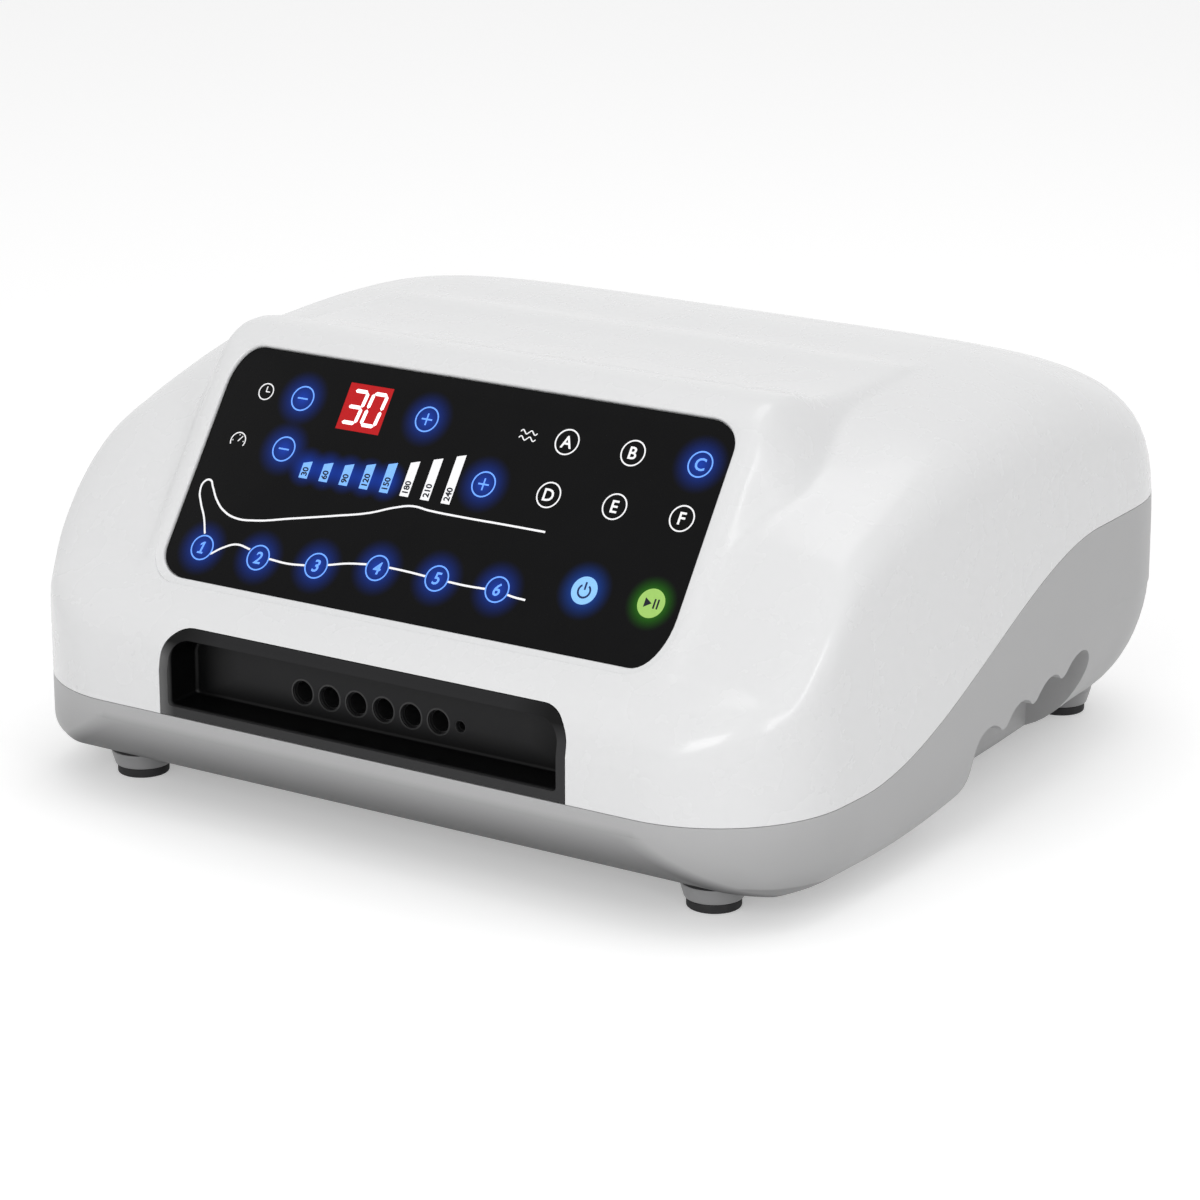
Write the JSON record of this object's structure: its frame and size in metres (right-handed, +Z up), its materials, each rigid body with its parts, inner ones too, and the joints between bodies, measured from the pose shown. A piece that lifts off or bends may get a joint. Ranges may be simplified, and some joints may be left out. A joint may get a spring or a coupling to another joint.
{
  "type": "compression therapy pump",
  "caption": "Table-top air compression pump: lofted housing with sloping control panel, recessed row of air outlets, scalloped side grips and four feet, with pump, valve and fan inside.",
  "frame": {"origin": "on the floor plane, below the middle of the housing", "axes": "+X to the right seen from the front, +Y to the back, +Z up; the control panel and outlets face -Y"},
  "size_m": [0.343, 0.335, 0.166],
  "materials": {
    "cover_white": "smooth gloss",
    "base_silver": "satin silver-grey",
    "film_black": "glossy printed film",
    "window_red": "tinted clear window",
    "display_dark": "display body",
    "board_green": "solder mask",
    "switch_grey": "moulded",
    "key_blue": "translucent, lit from behind",
    "key_white": "translucent",
    "key_green": "translucent, lit from behind",
    "tray_grey": "fine texture",
    "clear_tube": "flexible, translucent",
    "black_rubber": "matt",
    "screw_steel": "zinc plated",
    "core_steel": "varnished laminations",
    "ribbon_grey": "flat cable",
    "plate_steel": "pressed sheet",
    "coil_copper": "wound and taped",
    "head_grey": "moulded",
    "rotor_white": "low friction plastic",
    "motor_can": "drawn can",
    "fitting_black": "moulded"
  },
  "bodies": {
    "housing": {"top_cover": "cover_white", "base_shell": "base_silver", "panel_overlay": "film_black", "display_window": "window_red", "display_module": "display_dark", "panel_board": "board_green", "panel_screws": "screw_steel", "key_switches": "switch_grey", "port_tray": "tray_grey", "port_block": "tray_grey", "port_nipples": "tray_grey", "outlet_tubes": "clear_tube", "sensor_tube": "clear_tube", "supply_tubes": "clear_tube", "foot_cups": "tray_grey", "rubber_feet": "black_rubber", "foot_screws": "screw_steel", "cover_screws": "screw_steel", "main_board": "board_green", "board_screws": "screw_steel", "transformer": "core_steel", "ribbon_cable": "ribbon_grey", "pump_mounts": "black_rubber", "pump_frame": "plate_steel", "pump_core": "core_steel", "pump_coils": "coil_copper", "pump_heads": "head_grey", "valve_body": "head_grey", "valve_cap": "head_grey", "valve_motor": "motor_can", "mains_inlet": "fitting_black", "switch_frame": "fitting_black", "fuse_holder": "fitting_black", "fan_frame": "fitting_black"},
    "armature": {"pump_armature": "plate_steel", "pump_diaphragms": "black_rubber"},
    "distributor": {"valve_rotor": "rotor_white"},
    "fan": {"fan_rotor": "fitting_black"},
    "power_rocker": {"rocker": "fitting_black"},
    "fuse_plug": {"fuse_cap": "fitting_black"},
    "key_time_minus_body": {"key_time_minus": "key_blue"},
    "key_time_plus_body": {"key_time_plus": "key_blue"},
    "key_pressure_minus_body": {"key_pressure_minus": "key_blue"},
    "key_pressure_plus_body": {"key_pressure_plus": "key_blue"},
    "key_mode_a_body": {"key_mode_a": "key_white"},
    "key_mode_b_body": {"key_mode_b": "key_white"},
    "key_mode_c_body": {"key_mode_c": "key_blue"},
    "key_mode_d_body": {"key_mode_d": "key_white"},
    "key_mode_e_body": {"key_mode_e": "key_white"},
    "key_mode_f_body": {"key_mode_f": "key_white"},
    "key_power_body": {"key_power": "key_blue"},
    "key_play_body": {"key_play": "key_green"},
    "key_position_1_body": {"key_position_1": "key_blue"},
    "key_position_2_body": {"key_position_2": "key_blue"},
    "key_position_3_body": {"key_position_3": "key_blue"},
    "key_position_4_body": {"key_position_4": "key_blue"},
    "key_position_5_body": {"key_position_5": "key_blue"},
    "key_position_6_body": {"key_position_6": "key_blue"}
  },
  "joints": [
    {"name": "armature_stroke", "type": "slide", "parent": "housing", "child": "armature", "axis": [1, 0, 0], "range_m": [-0.002, 0.002], "stiffness_N_per_m": 1500},
    {"name": "distributor_turn", "type": "hinge", "parent": "housing", "child": "distributor", "pos_m": [-0.0049, -0.06, 0.0602], "axis": [0, 0, 1], "continuous": true},
    {"name": "fan_spin", "type": "hinge", "parent": "housing", "child": "fan", "pos_m": [-0.05, 0.1548, 0.0555], "axis": [0, 1, 0], "continuous": true},
    {"name": "rocker_tilt", "type": "hinge", "parent": "housing", "child": "power_rocker", "pos_m": [0.046, 0.1626, 0.052], "axis": [1, 0, 0], "range_deg": [-16, 0]},
    {"name": "fuse_plug_turn", "type": "hinge", "parent": "housing", "child": "fuse_plug", "pos_m": [0.098, 0.1651, 0.052], "axis": [0, 1, 0], "range_deg": [0, 60]},
    {"name": "key_time_minus_press", "type": "slide", "parent": "housing", "child": "key_time_minus_body", "axis": [0, 0.8192, -0.5736], "range_m": [0, 0.0004], "stiffness_N_per_m": 800},
    {"name": "key_time_plus_press", "type": "slide", "parent": "housing", "child": "key_time_plus_body", "axis": [0, 0.8192, -0.5736], "range_m": [0, 0.0004], "stiffness_N_per_m": 800},
    {"name": "key_pressure_minus_press", "type": "slide", "parent": "housing", "child": "key_pressure_minus_body", "axis": [0, 0.8192, -0.5736], "range_m": [0, 0.0004], "stiffness_N_per_m": 800},
    {"name": "key_pressure_plus_press", "type": "slide", "parent": "housing", "child": "key_pressure_plus_body", "axis": [0, 0.8192, -0.5736], "range_m": [0, 0.0004], "stiffness_N_per_m": 800},
    {"name": "key_mode_a_press", "type": "slide", "parent": "housing", "child": "key_mode_a_body", "axis": [0, 0.8192, -0.5736], "range_m": [0, 0.0004], "stiffness_N_per_m": 800},
    {"name": "key_mode_b_press", "type": "slide", "parent": "housing", "child": "key_mode_b_body", "axis": [0, 0.8192, -0.5736], "range_m": [0, 0.0004], "stiffness_N_per_m": 800},
    {"name": "key_mode_c_press", "type": "slide", "parent": "housing", "child": "key_mode_c_body", "axis": [0, 0.8192, -0.5736], "range_m": [0, 0.0004], "stiffness_N_per_m": 800},
    {"name": "key_mode_d_press", "type": "slide", "parent": "housing", "child": "key_mode_d_body", "axis": [0, 0.8192, -0.5736], "range_m": [0, 0.0004], "stiffness_N_per_m": 800},
    {"name": "key_mode_e_press", "type": "slide", "parent": "housing", "child": "key_mode_e_body", "axis": [0, 0.8192, -0.5736], "range_m": [0, 0.0004], "stiffness_N_per_m": 800},
    {"name": "key_mode_f_press", "type": "slide", "parent": "housing", "child": "key_mode_f_body", "axis": [0, 0.8192, -0.5736], "range_m": [0, 0.0004], "stiffness_N_per_m": 800},
    {"name": "key_power_press", "type": "slide", "parent": "housing", "child": "key_power_body", "axis": [0, 0.8192, -0.5736], "range_m": [0, 0.0004], "stiffness_N_per_m": 800},
    {"name": "key_play_press", "type": "slide", "parent": "housing", "child": "key_play_body", "axis": [0, 0.8192, -0.5736], "range_m": [0, 0.0004], "stiffness_N_per_m": 800},
    {"name": "key_position_1_press", "type": "slide", "parent": "housing", "child": "key_position_1_body", "axis": [0, 0.8192, -0.5736], "range_m": [0, 0.0004], "stiffness_N_per_m": 800},
    {"name": "key_position_2_press", "type": "slide", "parent": "housing", "child": "key_position_2_body", "axis": [0, 0.8192, -0.5736], "range_m": [0, 0.0004], "stiffness_N_per_m": 800},
    {"name": "key_position_3_press", "type": "slide", "parent": "housing", "child": "key_position_3_body", "axis": [0, 0.8192, -0.5736], "range_m": [0, 0.0004], "stiffness_N_per_m": 800},
    {"name": "key_position_4_press", "type": "slide", "parent": "housing", "child": "key_position_4_body", "axis": [0, 0.8192, -0.5736], "range_m": [0, 0.0004], "stiffness_N_per_m": 800},
    {"name": "key_position_5_press", "type": "slide", "parent": "housing", "child": "key_position_5_body", "axis": [0, 0.8192, -0.5736], "range_m": [0, 0.0004], "stiffness_N_per_m": 800},
    {"name": "key_position_6_press", "type": "slide", "parent": "housing", "child": "key_position_6_body", "axis": [0, 0.8192, -0.5736], "range_m": [0, 0.0004], "stiffness_N_per_m": 800}
  ]
}
